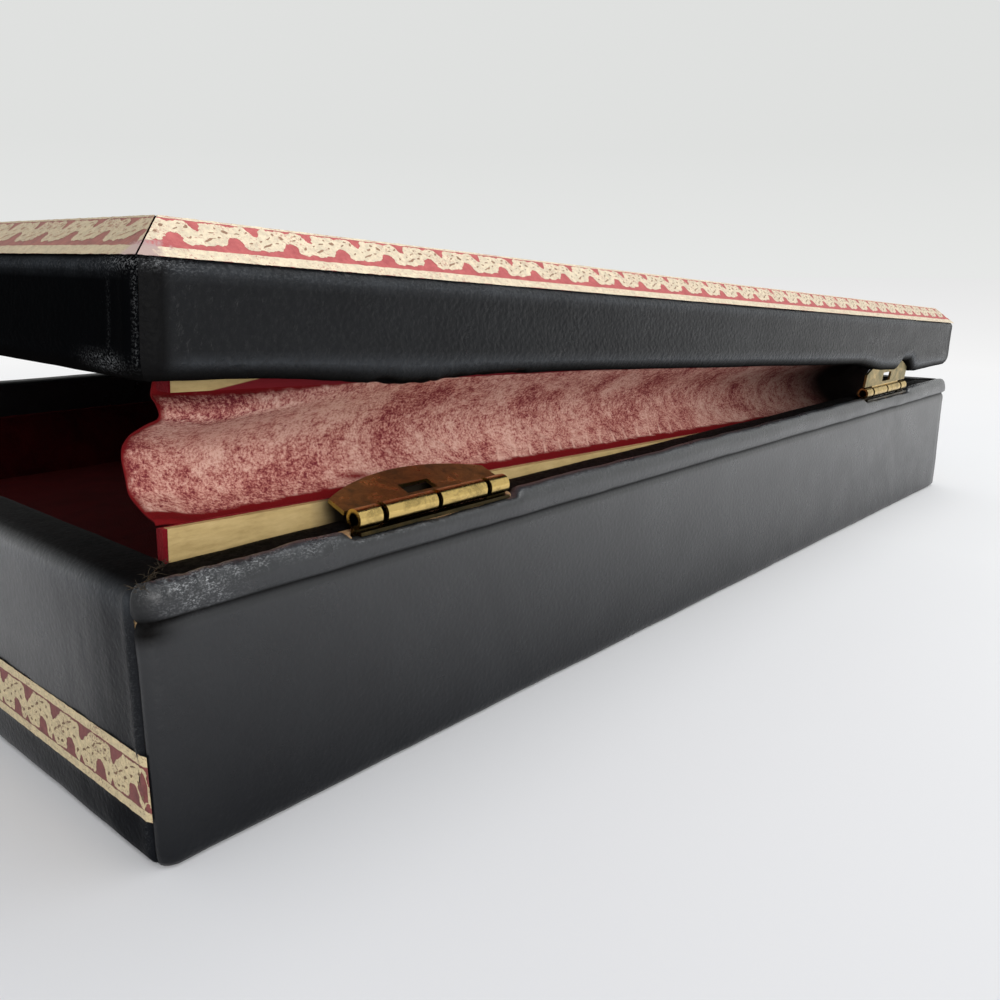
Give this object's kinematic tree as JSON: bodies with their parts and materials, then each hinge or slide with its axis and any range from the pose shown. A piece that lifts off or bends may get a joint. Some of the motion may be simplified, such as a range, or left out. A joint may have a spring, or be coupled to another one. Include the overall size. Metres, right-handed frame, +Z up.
{
  "type": "jewelry box",
  "caption": "Shallow leather-covered keepsake box with gilt border strips, red velvet lining and a bevelled hinged lid standing open at one end.",
  "frame": {"origin": "middle of the underside, on the surface the box rests on", "axes": "+X along the length towards the lifted end of the lid, +Y towards the hinged rear wall, +Z up"},
  "size_m": [0.2725, 0.2159, 0.0749],
  "materials": {
    "wood": "bare sawn board",
    "black_leather": "glazed, finely wrinkled, worn at the corners",
    "gilt_border": "red ground with stamped gold scrolls and lines",
    "card": "tan paperboard",
    "red_velvet": "short pile",
    "velvet_backing": "glue-stained woven back",
    "cover_paper": "matt black paper",
    "brass": "tarnished, worn bright on the barrel"
  },
  "bodies": {
    "base": {"base_front_wall": "wood", "base_front_leather": "black_leather", "base_front_liner_card": "card", "base_front_liner_velvet": "red_velvet", "base_front_border": "gilt_border", "base_rear_wall": "wood", "base_rear_leather": "black_leather", "base_rear_liner_card": "card", "base_rear_liner_velvet": "red_velvet", "base_left_wall": "wood", "base_left_leather": "black_leather", "base_left_liner_card": "card", "base_left_liner_velvet": "red_velvet", "base_left_border": "gilt_border", "base_right_wall": "wood", "base_right_leather": "black_leather", "base_right_liner_card": "card", "base_right_liner_velvet": "red_velvet", "base_right_border": "gilt_border", "base_floor_board": "wood", "base_underside_cover": "cover_paper", "base_floor_card": "card", "base_floor_velvet": "red_velvet", "near_hinge_lower_leaf": "brass", "near_hinge_pin": "brass", "far_hinge_lower_leaf": "brass", "far_hinge_pin": "brass", "hinge_gusset": "velvet_backing"},
    "lid": {"lid_front_wall": "wood", "lid_front_leather": "black_leather", "lid_front_border": "gilt_border", "lid_front_liner_card": "card", "lid_front_liner_velvet": "red_velvet", "lid_rear_wall": "wood", "lid_rear_leather": "black_leather", "lid_rear_border": "gilt_border", "lid_rear_liner_card": "card", "lid_rear_liner_velvet": "red_velvet", "lid_left_wall": "wood", "lid_left_leather": "black_leather", "lid_left_border": "gilt_border", "lid_left_liner_card": "card", "lid_left_liner_velvet": "red_velvet", "lid_right_wall": "wood", "lid_right_leather": "black_leather", "lid_right_border": "gilt_border", "lid_right_liner_card": "card", "lid_right_liner_velvet": "red_velvet", "lid_top_board": "wood", "lid_top_leather": "black_leather", "lid_lining_card": "card", "lid_lining_velvet": "red_velvet", "far_hinge_upper_leaf": "brass"},
    "near_leaf": {"near_hinge_upper_leaf": "brass"}
  },
  "joints": [
    {"name": "lid_hinge", "type": "hinge", "parent": "base", "child": "lid", "pos_m": [-0.0846, 0.104, 0.0354], "axis": [-1, 0, 0], "range_deg": [0, 100], "deforming": ["hinge_gusset"]},
    {"name": "near_leaf_swing", "type": "hinge", "parent": "base", "child": "near_leaf", "pos_m": [0.0893, 0.104, 0.0354], "axis": [-1, 0, 0], "range_deg": [0, 160]}
  ]
}
